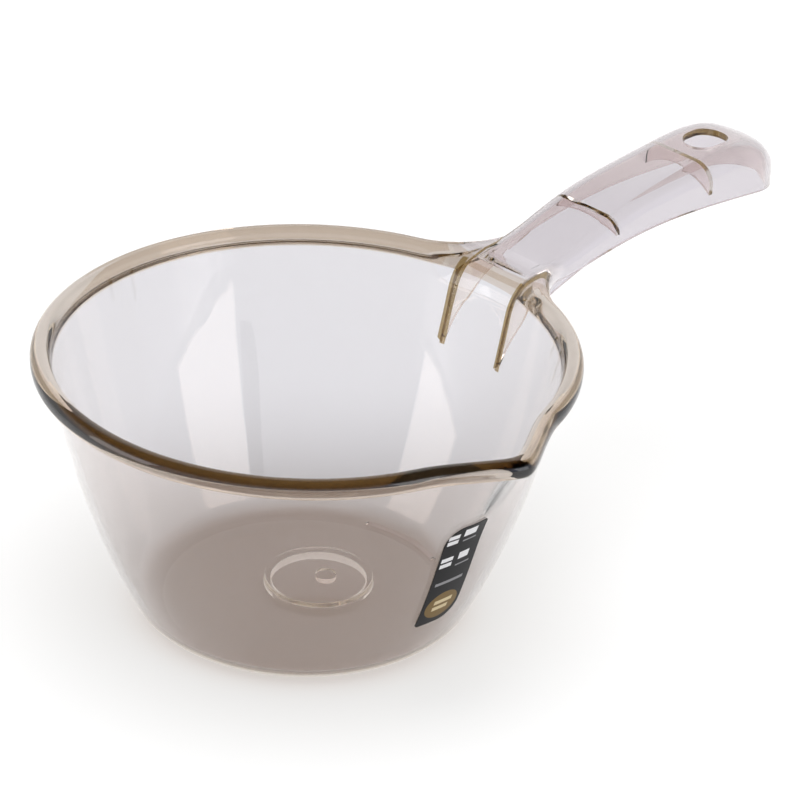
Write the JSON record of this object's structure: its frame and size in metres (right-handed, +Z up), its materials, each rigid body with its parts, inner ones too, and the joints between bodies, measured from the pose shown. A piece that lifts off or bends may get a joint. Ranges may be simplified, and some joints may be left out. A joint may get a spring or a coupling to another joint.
{
  "type": "water dipper",
  "caption": "Clear plastic water dipper: round tapered bowl with a rounded rim bead and a pinched spout, and a hollow-backed handle with a hanging slot.",
  "frame": {"origin": "middle of the base, on the surface that the dipper stands on", "axes": "+X along the handle from the bowl, the spout points to -Y, +Z up"},
  "size_m": [0.29, 0.178, 0.1024],
  "materials": {
    "clear_plastic": "clear smoky plastic, injection moulded and polished",
    "label_glue": "thin layer of tacky acrylic adhesive",
    "label_print": "printed film, satin"
  },
  "bodies": {
    "root": {"dipper_body": "clear_plastic", "label_adhesive": "label_glue", "label_film": "label_print"}
  },
  "joints": []
}
